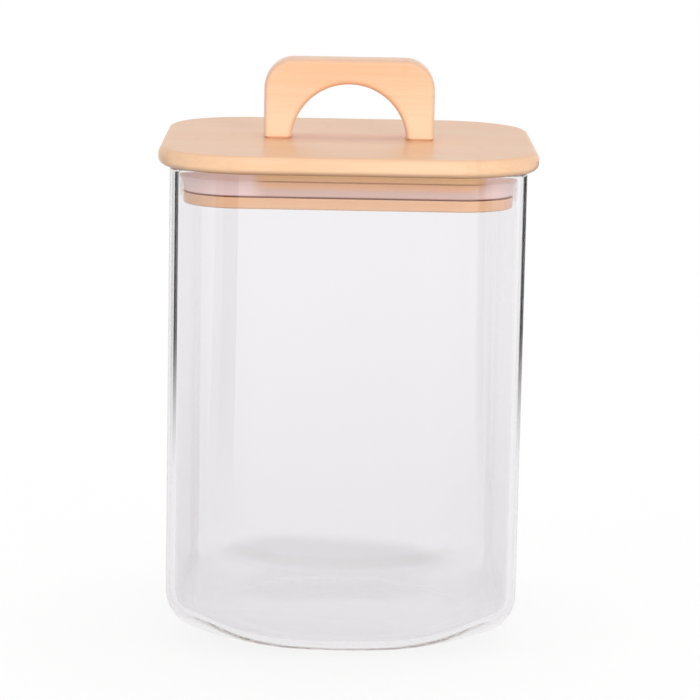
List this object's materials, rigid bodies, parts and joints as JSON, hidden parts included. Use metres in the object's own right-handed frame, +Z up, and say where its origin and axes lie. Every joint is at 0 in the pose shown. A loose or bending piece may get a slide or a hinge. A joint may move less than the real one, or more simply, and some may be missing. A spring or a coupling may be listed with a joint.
{
  "type": "lidded glass canister",
  "caption": "Square clear glass canister with a bamboo lid that lifts off by a bridge handle and seals with a silicone lip.",
  "frame": {"origin": "on the table, in the middle of the jar's foot", "axes": "+Z up through the handle, +X along the handle, +Y through the finger arch to the back"},
  "size_m": [0.128, 0.128, 0.1976],
  "materials": {
    "clear_glass": "clear, smooth, fire-polished rim",
    "bamboo_board": "pale bamboo strips, semi-gloss lacquer",
    "bamboo_handle": "pale bamboo, grain along the bridge, semi-gloss lacquer",
    "silicone": "translucent satin silicone",
    "screw_steel": "zinc-plated steel"
  },
  "bodies": {
    "jar": {"glass_jar": "clear_glass"},
    "lid": {"lid_board": "bamboo_board", "lid_plug": "bamboo_board", "seal_ring": "silicone", "handle": "bamboo_handle", "handle_screws": "screw_steel"}
  },
  "joints": [
    {"name": "lid_lift", "type": "slide", "parent": "jar", "child": "lid", "axis": [0, 0, 1], "range_m": [0, 0.1]}
  ]
}
